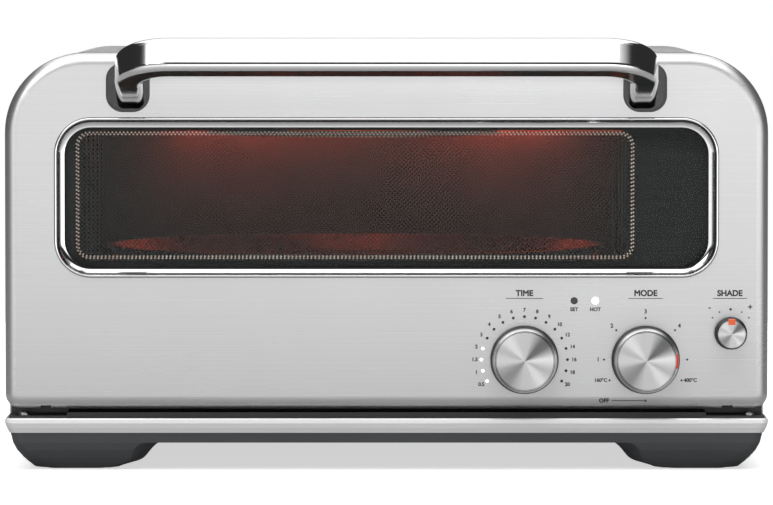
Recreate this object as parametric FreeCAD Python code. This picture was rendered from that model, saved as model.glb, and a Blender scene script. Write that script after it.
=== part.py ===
import FreeCAD, Part
import math
import os

# Countertop pizza oven: a wide, low steel box on a dark moulded base.  A full-face door carries the
# window, the handle and all three dials, and drops forward on two pins at its lower edge.  Behind it a
# shallow cavity holds a stone deck on a sliding carrier between upper and lower heating elements.
# Units are millimetres.  X runs to the right, Y to the back and Z up; the origin is on the worktop,
# midway across the width and midway between the handle's front and the wall spacers' tips.

V = FreeCAD.Vector
X_DIR = V(1, 0, 0)
Y_DIR = V(0, 1, 0)
Z_DIR = V(0, 0, 1)

# ---------------------------------------------------------------- driving dimensions
DEPTH = 461.0                 # handle front to wall-spacer tips
BODY_HALF = 235.0             # half width of the door and the shell
BASE_HALF = 235.3             # half width of the bright base band
TOP_Z = 257.7                 # top of the door
DOOR_LOW_Z = 38.7             # lower edge of the door
DOOR_FRONT = -172.5           # front plane of the door
DOOR_BACK = -140.5            # back plane of the door
TOP_CORNER = 49.0             # radius of the door's upper corners
LOW_CORNER = 9.0              # radius of the door's lower corners
EDGE_ROLL = 7.5               # roll of the door's front edge
SKIN = 1.2                    # steel sheet of the door and the frame
FRAME_FRONT = -137.5          # front plane of the body behind the door
BODY_BACK = 212.0             # back plane of the rear panel
SHELL_T = 1.0
BAND_TOP = 32.5               # top of the bright base band, where the body starts
BAND_LOW = 23.5

# door hinge
HINGE_Y = -166.5
HINGE_Z = 44.5
HINGE_X = 210.0               # middle of each hinge ear
PIN_R = 2.5
PIN_PLAY = 0.05
PIN_STEP = 9.0                # from the ear's middle out to where the pin steps down for its spring
PIN_NECK_R = 1.8
EYE_R = 3.7                   # boss of the ear round its pin
EAR_HALF = 2.0

# window
BEZEL_HALF = 204.5
BEZEL_Z = (119.5, 218.2)
BEZEL_R = 22.8
BEZEL_W = 6.4
BEZEL_LIP = 1.3
BEZEL_FRONT = -174.2
GLASS_FRONT = -169.0
GLASS_T = 4.0
VIEW_X = (-192.0, 153.4)      # the clear part of the glass, which sits left of the middle
VIEW_Z = (129.5, 209.9)
VIEW_R = 9.0

# handle
HANDLE_X = 157.5              # middle of each leg
HANDLE_FOOT_Z = 236.6
HANDLE_BAR = (-220.2, 255.7)  # y and z of the grip's middle
GRIP_TALL = 21.5
GRIP_DEEP = 17.0
GRIP_R = 4.5
GRIP_BEND = 25.0
CUP_X = 159.0                 # middle of each cup
CUP_W, CUP_H, CUP_R = 27.0, 30.5, 10.5
CUP_FLOOR = -168.5

# dials
TIMER = (84.9, 69.0)          # x and z of each dial's axis
STYLE = (159.5, 69.0)
SHADE = (211.8, 85.4)
TIMER_R = 21.0                # the style dial is the same size
SHADE_R = 10.0
DIAL_GAP = 2.0
DIAL_H = 17.0
SHADE_H = 14.0
SHAFT_R = 3.0
SHADE_SHAFT_R = 2.0
TIMER_RING_R = 26.5
TIMER_STEPS = 17
TIMER_STEP_DEG = 15.0
TIMER_LIT = 4
PIPE_R = 0.9
LAMP_X = (115.5, 128.5)
LAMP_Z = 105.3
LAMP_R = 2.2
BOARD_FRONT = -158.0

# cavity
CAV_X = (-192.0, 153.0)
CAV_Z = (98.0, 222.0)
CAV_BACK = 197.0
CAV_MID = (-20.0, 28.0)       # x and y of the deck's middle
OPEN_X = (-190.0, 151.0)
OPEN_Z = (100.0, 220.0)
STONE = 324.0
STONE_Z = (108.0, 120.0)
RUNNER_Z = 105.0
PAN_R = 160.0
PAN_Y = 25.0
ROD_R = 3.2                   # sheathed heating rods
INNER_RING = (58.0, 8.0)      # radius of each ring heater, and half the gap between its legs
OUTER_RING = (121.0, 26.0)
LOW_ROD_Z = 101.7
HIGH_ROD_Z = (208.0, 211.0)
LEG_END = 178.0

DOOR_INSET = 1.6              # how far the door's inner panel sits inside its outer panel

# fan and cord entry, x and z on the rear panel
FAN_MID = (194.5, 168.0)
GLAND = (200.0, 62.0)

# base: height and inset of each level of the band and of the moulding below it
BAND = ((32.5, 0.5), (31.9, 0.0), (29.6, 0.0), (26.6, 1.0), (23.5, 2.6))
TUB = ((23.5, 3.2), (17.3, 4.6), (12.4, 6.8), (7.5, 10.4), (4.0, 13.6), (1.0, 16.6))
TUB_HOLLOW = ((24.0, 6.2), (17.3, 7.8), (12.4, 10.2), (7.5, 14.2), (4.0, 17.4))
BASE_FRONT = -171.0
BASE_BACK = 212.5
BASE_CORNER = 5.0
ARCH_TOP = 17.3
FOOT_Z = 1.0
PAD_SPOTS = [(sx * 192.0, y) for sx in (-1, 1) for y in (-134.0, 175.0)]


# ---------------------------------------------------------------- helpers
def box(x0, x1, y0, y1, z0, z1):
    return Part.makeBox(x1 - x0, y1 - y0, z1 - z0, V(x0, y0, z0))


def rod(radius, start, direction, length):
    return Part.makeCylinder(radius, length, V(*start), direction)


def tube(outer, inner, start, direction, length):
    return rod(outer, start, direction, length).cut(rod(inner, start, direction, length))


def fuse(shapes):
    whole = shapes[0]
    for shape in shapes[1:]:
        whole = whole.fuse(shape)
    return whole.removeSplitter()


def cut(shape, tools):
    for tool in tools:
        shape = shape.cut(tool)
    return shape


def mirror_x(shape):
    return shape.mirror(V(0, 0, 0), X_DIR)


def rounded(a0, a1, b0, b1, radii, place):
    """A rounded rectangle as a wire.  radii run from the low-low corner, anticlockwise; place(a, b)
    gives the 3-D point."""
    s = math.sqrt(0.5)
    corners = [(a0, b0, 1, 1), (a1, b0, -1, 1), (a1, b1, -1, -1), (a0, b1, 1, -1)]
    edges = []
    ends = []
    for (a, b, da, db), r in zip(corners, radii):
        first = (a, b + db * r) if da == db else (a + da * r, b)
        last = (a + da * r, b) if da == db else (a, b + db * r)
        middle = (a + da * r * (1 - s), b + db * r * (1 - s))
        edges.append(Part.Arc(place(*first), place(*middle), place(*last)).toShape())
        ends.append((place(*first), place(*last)))
    lines = []
    for i in range(4):
        start, stop = ends[i][1], ends[(i + 1) % 4][0]
        if start.distanceToPoint(stop) > 1e-6:
            lines.append(Part.LineSegment(start, stop).toShape())
    return Part.Wire(Part.__sortEdges__(edges + lines))


def wall_prism(x0, x1, z0, z1, radii, y0, y1):
    """A rounded rectangle in X and Z, drawn out along Y."""
    wire = rounded(x0, x1, z0, z1, radii, lambda a, b: V(a, y0, b))
    return Part.Face(wire).extrude(V(0, y1 - y0, 0))


def floor_prism(x0, x1, y0, y1, radius, z0, z1):
    """A rounded rectangle in X and Y, drawn up along Z."""
    wire = rounded(x0, x1, y0, y1, [radius] * 4, lambda a, b: V(a, b, z0))
    return Part.Face(wire).extrude(V(0, 0, z1 - z0))


def edges_on_plane(shape, y):
    found = []
    for edge in shape.Edges:
        low, high = edge.BoundBox.YMin, edge.BoundBox.YMax
        if abs(low - y) < 1e-4 and abs(high - y) < 1e-4:
            found.append(edge)
    return found


def revolve_y(profile, centre):
    """Turns a closed outline of (radius, y) points round a Y axis through centre = (x, z)."""
    x, z = centre
    wire = Part.makePolygon([V(x + r, y, z) for r, y in profile + profile[:1]])
    return Part.Face(wire).revolve(V(x, 0, z), Y_DIR, 360)


def revolve_z(profile, centre):
    """Turns a closed outline of (radius, z) points round a Z axis through centre = (x, y)."""
    x, y = centre
    wire = Part.makePolygon([V(x + r, y, z) for r, z in profile + profile[:1]])
    return Part.Face(wire).revolve(V(x, y, 0), Z_DIR, 360)


def bent_tube(points, bend, radius):
    """A round bar along straight runs joined by tangent arcs of one radius."""
    pts = [V(*p) for p in points]
    edges = []
    start = pts[0]
    for i in range(1, len(pts) - 1):
        back = (pts[i - 1] - pts[i]).normalize()
        ahead = (pts[i + 1] - pts[i]).normalize()
        half = back.getAngle(ahead) / 2
        reach = bend / math.tan(half)
        middle = (back + ahead).normalize()
        a, b = pts[i] + back * reach, pts[i] + ahead * reach
        m = pts[i] + middle * (bend / math.sin(half) - bend)
        edges += [Part.LineSegment(start, a).toShape(), Part.Arc(a, m, b).toShape()]
        start = b
    edges.append(Part.LineSegment(start, pts[-1]).toShape())
    along = (pts[1] - pts[0]).normalize()
    ring = Part.Wire([Part.Circle(pts[0], along, radius).toShape()])
    return Part.Wire(edges).makePipeShell([ring], True, False)


def door_hull(inset, front, back, roll):
    """The door's outline with rolled front edges, drawn in by inset."""
    low, top = LOW_CORNER - inset, TOP_CORNER - inset
    hull = wall_prism(-BODY_HALF + inset, BODY_HALF - inset, DOOR_LOW_Z + inset, TOP_Z - inset,
                      [low, low, top, top], front, back)
    return hull.makeFillet(roll, edges_on_plane(hull, front)) if roll else hull


# ---------------------------------------------------------------- door
def timer_dots():
    """x and z of each light of the timer's ring, from the shortest time round to the longest."""
    first = -TIMER_STEP_DEG * (TIMER_STEPS - 1) / 2
    spots = []
    for i in range(TIMER_STEPS):
        turn = math.radians(first + i * TIMER_STEP_DEG)
        spots.append((TIMER[0] + TIMER_RING_R * math.sin(turn), TIMER[1] + TIMER_RING_R * math.cos(turn)))
    return spots


def hinge_notches(y0, y1, z0, z1):
    """Slots in the door's lower edge that the fixed ears pass through as the door drops."""
    half = EAR_HALF + 1.2
    right = box(HINGE_X - half, HINGE_X + half, y0, y1, z0, z1)
    return [right, mirror_x(right)]


def door_outer_panel():
    hull = door_hull(0, DOOR_FRONT, DOOR_BACK - 0.5, EDGE_ROLL)
    hollow = door_hull(SKIN, DOOR_FRONT + SKIN, DOOR_BACK + 1, EDGE_ROLL - SKIN)
    window = wall_prism(-BEZEL_HALF, BEZEL_HALF, *BEZEL_Z, [BEZEL_R] * 4, -180, -150)
    holes = [window] + [cup_oval(side, 0, -180, -150) for side in (-1, 1)]
    for (x, z), radius in ((TIMER, 4.0), (STYLE, 4.0), (SHADE, 3.2)):
        holes.append(rod(radius, (x, -180, z), Y_DIR, 12))
    holes += [rod(PIPE_R, (x, -180, z), Y_DIR, 12) for x, z in timer_dots()]
    holes += [rod(LAMP_R, (x, -180, LAMP_Z), Y_DIR, 12) for x in LAMP_X]
    holes += hinge_notches(-170.0, -130, DOOR_LOW_Z - 1, DOOR_LOW_Z + 3.5)
    return cut(hull.cut(hollow), holes)


def door_inner_panel():
    def outline(inset, front, back):
        return door_hull(DOOR_INSET + inset, front, back, 0)
    pan = outline(0, DOOR_BACK - 11.5, DOOR_BACK).cut(outline(1.0, DOOR_BACK - 12, DOOR_BACK - 1.0))
    window = wall_prism(-188, 149, 127, 212, [8] * 4, -160, -130)
    return cut(pan, [window] + hinge_notches(-160, -130, DOOR_LOW_Z, HINGE_Z + 3.8))


def window_bezel():
    """A bright frame round the glass: a narrow lip, then a face that slopes in to the glass."""
    def outline(inset, y):
        r = BEZEL_R - inset
        return rounded(-BEZEL_HALF + inset, BEZEL_HALF - inset, BEZEL_Z[0] + inset, BEZEL_Z[1] - inset,
                       [r] * 4, lambda a, b: V(a, y, b))
    ring = Part.Face(outline(0, BEZEL_FRONT)).extrude(V(0, GLASS_FRONT - BEZEL_FRONT, 0))
    ring = ring.makeFillet(0.7, edges_on_plane(ring, BEZEL_FRONT))
    low = GLASS_FRONT - 1.0
    slope = Part.makeLoft([outline(BEZEL_LIP, BEZEL_FRONT), outline(BEZEL_W, low)], True, True)
    above = Part.Face(outline(BEZEL_LIP, BEZEL_FRONT)).extrude(V(0, -2, 0))
    below = Part.Face(outline(BEZEL_W, low)).extrude(V(0, 3, 0))
    return cut(ring, [slope, above, below])


def pane(half, z0, z1, radius, y0, y1):
    return wall_prism(-half, half, z0, z1, [radius] * 4, y0, y1)


def window_outer_glass():
    return pane(200.5, BEZEL_Z[0] + 4, BEZEL_Z[1] - 4, 18.5, GLASS_FRONT, GLASS_FRONT + GLASS_T)


def window_mask():
    back = GLASS_FRONT + GLASS_T
    sheet = pane(200.5, BEZEL_Z[0] + 4, BEZEL_Z[1] - 4, 18.5, back, back + 0.3)
    return sheet.cut(wall_prism(*VIEW_X, *VIEW_Z, [VIEW_R] * 4, back - 1, back + 1))


def window_inner_glass():
    return wall_prism(-194, 155, 124, 215, [6] * 4, DOOR_BACK - 1 - GLASS_T, DOOR_BACK - 1)


def glass_clips():
    """Spring-steel clips that hold the inner pane to the inner panel, three above and three below."""
    clips = []
    y_glass = DOOR_BACK - 1 - GLASS_T
    for x in (-150, -20, 110):
        for z, up in ((215, 1), (124, -1)):
            foot = (z, z + 12) if up > 0 else (z - 12, z)
            lap = (z - 5, z) if up > 0 else (z, z + 5)
            base = box(x - 8, x + 8, DOOR_BACK - 2, DOOR_BACK - 1, *foot)
            web_z = (z, z + 1) if up > 0 else (z - 1, z)
            web = box(x - 8, x + 8, y_glass - 1, DOOR_BACK - 1, *web_z)
            tongue = box(x - 8, x + 8, y_glass - 1, y_glass, *lap)
            clips.append(fuse([base, web, tongue]))
    return Part.makeCompound(clips)


def door_brackets():
    """A folded channel up each side of the door, and a bored plate on each side of each hinge ear."""
    channel = box(208, 224, -171.3, -141.5, 122, 205).cut(box(209.2, 225, -170.1, -142.7, 121, 206))
    hollow = door_hull(SKIN, DOOR_FRONT + SKIN, -152, EDGE_ROLL - SKIN)
    pieces = [channel, mirror_x(channel)]
    for x in (HINGE_X - 8, HINGE_X + 4):
        plate = box(x, x + 4, -172, -152, DOOR_LOW_Z, 56).common(hollow)
        plate = plate.cut(rod(PIN_R + PIN_PLAY, (x - 1, HINGE_Y, HINGE_Z), X_DIR, 6))
        pieces += [plate, mirror_x(plate)]
    return Part.makeCompound(pieces)


# ---------------------------------------------------------------- handle
def cup_oval(side, inset, y0, y1):
    x = side * CUP_X
    w, h, r = CUP_W / 2 - inset, CUP_H / 2 - inset, CUP_R - inset
    return wall_prism(x - w, x + w, HANDLE_FOOT_Z - h, HANDLE_FOOT_Z + h, [r] * 4, y0, y1)


def handle_bar():
    """A rounded-square bar bent to a flat U, leaning up and forward from its feet."""
    rise = math.atan2(HANDLE_BAR[1] - HANDLE_FOOT_Z, DOOR_FRONT - HANDLE_BAR[0])
    reach = math.hypot(HANDLE_BAR[1] - HANDLE_FOOT_Z, DOOR_FRONT - HANDLE_BAR[0])
    root, r = 14.0, GRIP_BEND          # the legs start behind the door's face and are trimmed there
    s = math.sqrt(0.5)

    def at(x, v):
        return V(x, -v, 0)
    hx = HANDLE_X
    path = Part.Wire([
        Part.LineSegment(at(-hx, -root), at(-hx, reach - r)).toShape(),
        Part.Arc(at(-hx, reach - r), at(-hx + r * (1 - s), reach - r * (1 - s)),
                 at(-hx + r, reach)).toShape(),
        Part.LineSegment(at(-hx + r, reach), at(hx - r, reach)).toShape(),
        Part.Arc(at(hx - r, reach), at(hx - r * (1 - s), reach - r * (1 - s)),
                 at(hx, reach - r)).toShape(),
        Part.LineSegment(at(hx, reach - r), at(hx, -root)).toShape()])
    section = rounded(-hx - GRIP_DEEP / 2, -hx + GRIP_DEEP / 2, -GRIP_TALL / 2, GRIP_TALL / 2,
                      [GRIP_R] * 4, lambda a, b: V(a, root, b))
    bar = path.makePipeShell([section], True, False)
    bar.rotate(V(0, 0, 0), X_DIR, -math.degrees(rise))
    bar.translate(V(0, DOOR_FRONT, HANDLE_FOOT_Z))
    bar = bar.cut(box(-200, 200, CUP_FLOOR, -120, 200, 300))
    return cut(bar, [rod(PIN_R, (side * hx, -182, HANDLE_FOOT_Z), Y_DIR, 20) for side in (-1, 1)])


def handle_cups():
    """Oval cups let into the door's face, one under each leg of the handle."""
    cups = []
    for side in (-1, 1):
        rim = cup_oval(side, 0, DOOR_FRONT - 0.6, CUP_FLOOR + 2)
        rim = rim.makeFillet(0.5, edges_on_plane(rim, DOOR_FRONT - 0.6))
        rim = rim.cut(cup_oval(side, 1.0, DOOR_FRONT - 2, CUP_FLOOR))
        cups.append(rim.cut(rod(PIN_R, (side * HANDLE_X, -180, HANDLE_FOOT_Z), Y_DIR, 30)))
    return Part.makeCompound(cups)


def handle_screws():
    screws = []
    back = CUP_FLOOR + 2
    for side in (-1, 1):
        x = side * HANDLE_X
        shank = rod(PIN_R, (x, -181, HANDLE_FOOT_Z), Y_DIR, back + 181)
        head = rod(4.5, (x, back, HANDLE_FOOT_Z), Y_DIR, 3)
        drive = rod(1.6, (x, back + 1.2, HANDLE_FOOT_Z), Y_DIR, 3)
        screws.append(shank.fuse(head).cut(drive))
    return Part.makeCompound(screws)


# ---------------------------------------------------------------- dials and controls
def dial(centre, radius, height, shaft, bore_depth):
    """A spun metal dial: tapered side, rounded shoulder, a fine groove and a flat face."""
    back = DOOR_FRONT - DIAL_GAP
    top = back - height
    k = radius / TIMER_R
    face = radius * 0.84
    outline = [(shaft, back), (radius - 0.4, back), (radius, back - 0.4), (radius, back - 2),
               (radius - 1.4 * k, top + 1.6 * k), (radius - 1.8 * k, top + 0.6 * k),
               (radius - 2.4 * k, top + 0.1 * k), (face + 0.35 * k, top), (face + 0.1 * k, top + 0.5 * k),
               (face - 0.2 * k, top), (0, top), (0, back - bore_depth), (shaft, back - bore_depth)]
    return revolve_y(outline, centre)


def dial_and_mark(body, centre, start, width, depth, angle):
    """Cuts the pointer's pocket out of the dial's rim, from radius start outwards, and gives the dial
    and the piece that fills the pocket."""
    x, z = centre
    top = DOOR_FRONT - DIAL_GAP - depth[0]
    pocket = box(x - width / 2, x + width / 2, top - 1, top + depth[1], z + start, z + 25)
    pocket.rotate(V(x, 0, z), Y_DIR, angle)
    return body.cut(pocket), body.common(pocket)


def timer_knob():
    return dial(TIMER, TIMER_R, DIAL_H, SHAFT_R, 12)


def style_parts():
    body = dial(STYLE, TIMER_R, DIAL_H, SHAFT_R, 12)
    return dial_and_mark(body, STYLE, 18.0, 9.0, (DIAL_H, 5.5), 90)


def shade_parts():
    body = dial(SHADE, SHADE_R, SHADE_H, SHADE_SHAFT_R, 9)
    return dial_and_mark(body, SHADE, 5.8, 4.4, (SHADE_H, 3.0), 0)


def dial_washers():
    """Thin dark washers between the dials and the door."""
    rings = []
    for (x, z), outer, inner in ((TIMER, 20.4, 5), (STYLE, 20.4, 5), (SHADE, 9.6, 4)):
        rings.append(tube(outer, inner, (x, DOOR_FRONT - 0.6, z), Y_DIR, 0.6))
    return Part.makeCompound(rings)


def shaft(centre, radius, start, depth):
    x, z = centre
    return rod(radius, (x, start, z), Y_DIR, depth)


def rotary_body(centre, half, bush, bore, pocket=0.0):
    """A rotary control on the board: square case, round bush through the door, bored for its shaft."""
    x, z = centre
    case = box(x - half, x + half, BOARD_FRONT - 8, BOARD_FRONT, z - half, z + half)
    neck = rod(bush, (x, DOOR_FRONT - 0.4, z), Y_DIR, BOARD_FRONT - 8 - DOOR_FRONT + 0.4)
    whole = case.fuse(neck).cut(rod(bore, (x, -180, z), Y_DIR, BOARD_FRONT - 3 + 180))
    if pocket:
        whole = whole.cut(rod(pocket, (x, BOARD_FRONT - 7, z), Y_DIR, 6))
    return whole


def dial_switches():
    return Part.makeCompound([rotary_body(STYLE, 8.0, 3.9, SHAFT_R + PIN_PLAY),
                              rotary_body(SHADE, 5.5, 3.1, SHADE_SHAFT_R + PIN_PLAY)])


def timer_encoder():
    return rotary_body(TIMER, 7.0, 3.9, SHAFT_R + PIN_PLAY, 4.6)


def timer_plunger():
    """The disc at the shaft's end that a push on the dial drives back."""
    return rod(4.3, (TIMER[0], BOARD_FRONT - 6, TIMER[1]), Y_DIR, 2)


def timer_shaft():
    return shaft(TIMER, SHAFT_R, DOOR_FRONT - DIAL_GAP - 12, BOARD_FRONT - 6 - DOOR_FRONT + DIAL_GAP + 12)


def style_shaft():
    return shaft(STYLE, SHAFT_R, DOOR_FRONT - DIAL_GAP - 12, 25)


def shade_shaft():
    return shaft(SHADE, SHADE_SHAFT_R, DOOR_FRONT - DIAL_GAP - 9, 21)


def control_board():
    board = box(70, 229, BOARD_FRONT, BOARD_FRONT + 1.6, 60, 116)
    return cut(board, [rod(1.6, (x, BOARD_FRONT - 1, z), Y_DIR, 4) for x in (74, 225) for z in (64, 112)])


def control_shield():
    """Folded sheet that keeps the cavity's heat off the control board."""
    outer = box(66, 230, -153, -149, 57, 119)
    return outer.cut(box(67, 229, -154, -150, 58, 118))


def lamp(x, z, radius, proud):
    """A clear pipe from the board out through the door's face, with a domed end."""
    pipe = rod(radius, (x, DOOR_FRONT - proud, z), Y_DIR, BOARD_FRONT - DOOR_FRONT + proud)
    return pipe.makeFillet(proud * 0.8, edges_on_plane(pipe, DOOR_FRONT - proud))


def lights_lit():
    """The timer lights that are on in the state shown, and the lamp that says the oven is hot."""
    dots = [lamp(x, z, PIPE_R, 0.3) for x, z in timer_dots()[:TIMER_LIT]]
    return Part.makeCompound(dots + [lamp(LAMP_X[1], LAMP_Z, LAMP_R, 0.5)])


def lights_unlit():
    dots = [lamp(x, z, PIPE_R, 0.3) for x, z in timer_dots()[TIMER_LIT:]]
    return Part.makeCompound(dots + [lamp(LAMP_X[0], LAMP_Z, LAMP_R, 0.5)])


# ---------------------------------------------------------------- body
def shell_outline(inset, y0, y1):
    side, top = 0.8 + inset, 0.5 + inset
    return wall_prism(-BODY_HALF + side, BODY_HALF - side, BAND_TOP, TOP_Z - top,
                      [0.5, 0.5, TOP_CORNER - inset, TOP_CORNER - inset], y0, y1)


def outer_shell():
    """One sheet wrapped over the sides and top, with a lip turned in at the back and vents low down."""
    hollow = shell_outline(SHELL_T, FRAME_FRONT - 1, BODY_BACK + 1)
    inner = BODY_HALF - 0.8 - SHELL_T
    hollow = hollow.fuse(box(-inner, inner, FRAME_FRONT - 1, BODY_BACK + 1, BAND_TOP - 1, BAND_TOP + 2))
    shell = shell_outline(0, FRAME_FRONT, BODY_BACK).cut(hollow)
    lip = shell_outline(SHELL_T, BODY_BACK - 2.4, BODY_BACK - 1.2)
    lip = lip.cut(shell_outline(11, BODY_BACK - 3, BODY_BACK))
    lip = lip.cut(box(-inner + 10, inner - 10, BODY_BACK - 3, BODY_BACK, BAND_TOP - 1, BAND_TOP + 20))
    slots = [side_slot(70 + i * 10, row) for row in (62, 84) for i in range(12)]
    return cut(shell.fuse(lip), [Part.makeCompound(slots)] + rear_screw_holes())


def side_slot(y, z):
    """An upright slot through both sides of the shell."""
    wire = rounded(y - 1.75, y + 1.75, z - 8, z + 8, [1.74] * 4, lambda a, b: V(-240, a, b))
    return Part.Face(wire).extrude(V(480, 0, 0))


def rear_screw_spots():
    return [(x, z) for x in (-227, 227) for z in (60, 130, 196)] + [(x, 250.5) for x in (-150, 0, 150)]


def rear_screw_holes():
    return [rod(1.6, (x, BODY_BACK - 8, z), Y_DIR, 12) for x, z in rear_screw_spots()]


def rear_screws():
    screws = []
    for x, z in rear_screw_spots():
        shank = rod(1.6, (x, BODY_BACK - 6, z), Y_DIR, 6)
        head = rod(3.2, (x, BODY_BACK, z), Y_DIR, 1.8)
        head = head.makeFillet(0.8, edges_on_plane(head, BODY_BACK + 1.8))
        bar = wall_prism(x - 2.2, x + 2.2, z - 0.35, z + 0.35, [0.3] * 4, BODY_BACK + 1, BODY_BACK + 3)
        screws.append(cut(shank.fuse(head), [bar, bar.rotated(V(x, 0, z), Y_DIR, 90)]))
    return Part.makeCompound(screws)


def rear_panel():
    plate = shell_outline(SHELL_T + 0.2, BODY_BACK - 1.2, BODY_BACK)
    plate = plate.common(box(-240, 240, 200, 220, BAND_TOP + 1.5, 300))
    tools = rear_screw_holes()
    tools.append(rod(8.0, (GLAND[0], 200, GLAND[1]), Y_DIR, 20))
    for i in range(8):
        z = 56 + i * 9
        tools += [wall_prism(x, x + 80, z, z + 3, [1.49] * 4, 200, 220) for x in (-180, -60, 60)]
    for i in range(-4, 5):
        half = math.sqrt(26.0 ** 2 - (6 * i) ** 2)
        z = FAN_MID[1] + 6 * i
        tools.append(wall_prism(FAN_MID[0] - half, FAN_MID[0] + half, z - 1.6, z + 1.6, [1.59] * 4, 200, 220))
    return cut(plate, tools)


def front_frame():
    plate = shell_outline(SHELL_T + 0.2, FRAME_FRONT, FRAME_FRONT + SKIN)
    plate = plate.common(box(-240, 240, -150, -100, BAND_TOP + 1.5, 300))
    return plate.cut(wall_prism(*OPEN_X, *OPEN_Z, [8] * 4, -150, -100))


def door_gasket():
    """Woven rope seal round the cavity's mouth."""
    outer = wall_prism(-198, 159, 92, 228, [14] * 4, FRAME_FRONT - 2.7, FRAME_FRONT)
    return outer.cut(wall_prism(-192, 153, 98, 222, [8] * 4, FRAME_FRONT - 4, FRAME_FRONT + 1))


# ---------------------------------------------------------------- cavity
def lead_spots():
    """y and z of the heaters' legs where they leave the cavity's right wall."""
    spots = []
    for (_, spread), high in zip((INNER_RING, OUTER_RING), HIGH_ROD_Z):
        spots += [(CAV_MID[1] + side * spread, z) for z in (LOW_ROD_Z, high) for side in (-1, 1)]
    return spots


def leg_holes(x, length):
    return [rod(4.5, (x, y, z), X_DIR, length) for y, z in lead_spots()]


def heater_clips():
    """Small hangers, spot-welded to the liner, that each heating rod rests on."""
    cx, cy = CAV_MID
    low, high = LOW_ROD_Z - ROD_R, [z + ROD_R for z in HIGH_ROD_Z]
    levels = [(INNER_RING[0], CAV_Z[0], low), (OUTER_RING[0], CAV_Z[0], low),
              (INNER_RING[0], high[0], CAV_Z[1]), (OUTER_RING[0], high[1], CAV_Z[1])]
    clips = []
    for radius, z0, z1 in levels:
        for deg in (90, 180, 270):
            x, y = cx + radius * math.cos(math.radians(deg)), cy + radius * math.sin(math.radians(deg))
            clips.append(box(x - 3, x + 3, y - 3, y + 3, z0, z1))
    return clips


def cavity_liner():
    front, t = FRAME_FRONT + SKIN, 1.0
    outer = box(CAV_X[0] - t, CAV_X[1] + t, front, CAV_BACK + t, CAV_Z[0] - t, CAV_Z[1] + t)
    liner = outer.cut(box(*CAV_X, front - 1, CAV_BACK, *CAV_Z))
    ribs = []
    for y in (-118, -60, 0, 60, 120, 178):
        for x in CAV_X:
            ribs.append(rod(2.0, (x, y, 122), Z_DIR, 84).common(box(*CAV_X, y - 3, y + 3, 120, 208)))
    liner = fuse([liner] + ribs + heater_clips())
    probe = rod(2.2, (120, 190, 205), Y_DIR, 12)
    return cut(liner, leg_holes(140, 30) + [probe])


def insulation():
    """Mineral wool over the top, the sides and the back of the liner, and a slab below it."""
    wool = box(-203, 164, -132, 207, 97, 233).cut(box(-193, 154, -140, 198, 90, 223))
    wool = cut(wool, leg_holes(140, 40) + [rod(5.5, (120, 195, 205), Y_DIR, 20)])
    return Part.makeCompound([wool, box(-193, 154, -132, 198, 84, 97)])


def cavity_supports():
    """Folded stands that carry the liner and its wool on the floor plate."""
    floor = BAND_TOP + 1.5
    stand = fuse([box(-12, 12, -20, 20, floor, floor + 1.5), box(-12, 12, -0.75, 0.75, floor, 84),
                  box(-12, 12, -20, 20, 82.5, 84)])
    return Part.makeCompound([stand.translated(V(x, y, 0)) for x in (-150, 110) for y in (-90, 150)])


def ring_heater(radius, spread, z):
    """A sheathed rod: one open ring with two legs that run out to the right."""
    cx, cy = CAV_MID
    bend = 9.0
    turn = math.asin((spread + bend) / (radius + bend))
    hub_x = cx + (radius + bend) * math.cos(turn)
    back = turn / 2 + math.pi / 4

    def at(x, y, side):
        return V(x, cy + side * y, z)
    leg = [at(hub_x, spread, side) for side in (1, -1)]
    mid = [at(hub_x - bend * math.cos(back), spread + bend - bend * math.sin(back), side) for side in (1, -1)]
    tip = [at(cx + radius * math.cos(turn), radius * math.sin(turn), side) for side in (1, -1)]
    end = [at(LEG_END, spread, side) for side in (1, -1)]
    path = Part.Wire([
        Part.LineSegment(end[0], leg[0]).toShape(), Part.Arc(leg[0], mid[0], tip[0]).toShape(),
        Part.Arc(tip[0], V(cx - radius, cy, z), tip[1]).toShape(),
        Part.Arc(tip[1], mid[1], leg[1]).toShape(), Part.LineSegment(leg[1], end[1]).toShape()])
    ring = Part.Wire([Part.Circle(end[0], X_DIR, ROD_R).toShape()])
    return path.makePipeShell([ring], True, False)


def heaters(z_inner, z_outer):
    return Part.makeCompound([ring_heater(*INNER_RING, z_inner), ring_heater(*OUTER_RING, z_outer)])


def heater_terminals():
    """White ceramic sleeves on the heaters' legs, inside the right-hand bay."""
    return Part.makeCompound([tube(4.4, ROD_R, (166, y, z), X_DIR, 10) for y, z in lead_spots()])


def heat_deflector():
    """Flared ring between the two upper heaters that throws heat at the rim and the middle."""
    top = CAV_Z[1]
    cone = [(78, top), (78, 218), (94, 203), (95.2, 203), (95.2, 204), (79.2, 219), (79.2, top)]
    x, y = CAV_MID
    return revolve_z(cone, CAV_MID).cut(box(x, x + 110, y - 13, y + 13, 202, 215))


def deck_runners():
    """Folded ledges on the cavity's side walls that the deck's carrier slides on."""
    x0, x1 = CAV_X
    left = fuse([box(x0, x0 + 14, -136, 196, RUNNER_Z, RUNNER_Z + 1.2),
                 box(x0, x0 + 1.2, -136, 196, CAV_Z[0], RUNNER_Z)])
    right = fuse([box(x1 - 14, x1, -136, 196, RUNNER_Z, RUNNER_Z + 1.2),
                  box(x1 - 1.2, x1, -136, 196, CAV_Z[0], RUNNER_Z)])
    return Part.makeCompound([left, cut(right, leg_holes(140, 30))])


def thermostat_probe():
    """Sensor through the cavity's back wall, with its nut in the wool behind."""
    return rod(2.2, (120, 176, 205), Y_DIR, 30).fuse(rod(5, (120, CAV_BACK + 1, 205), Y_DIR, 5))


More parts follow.
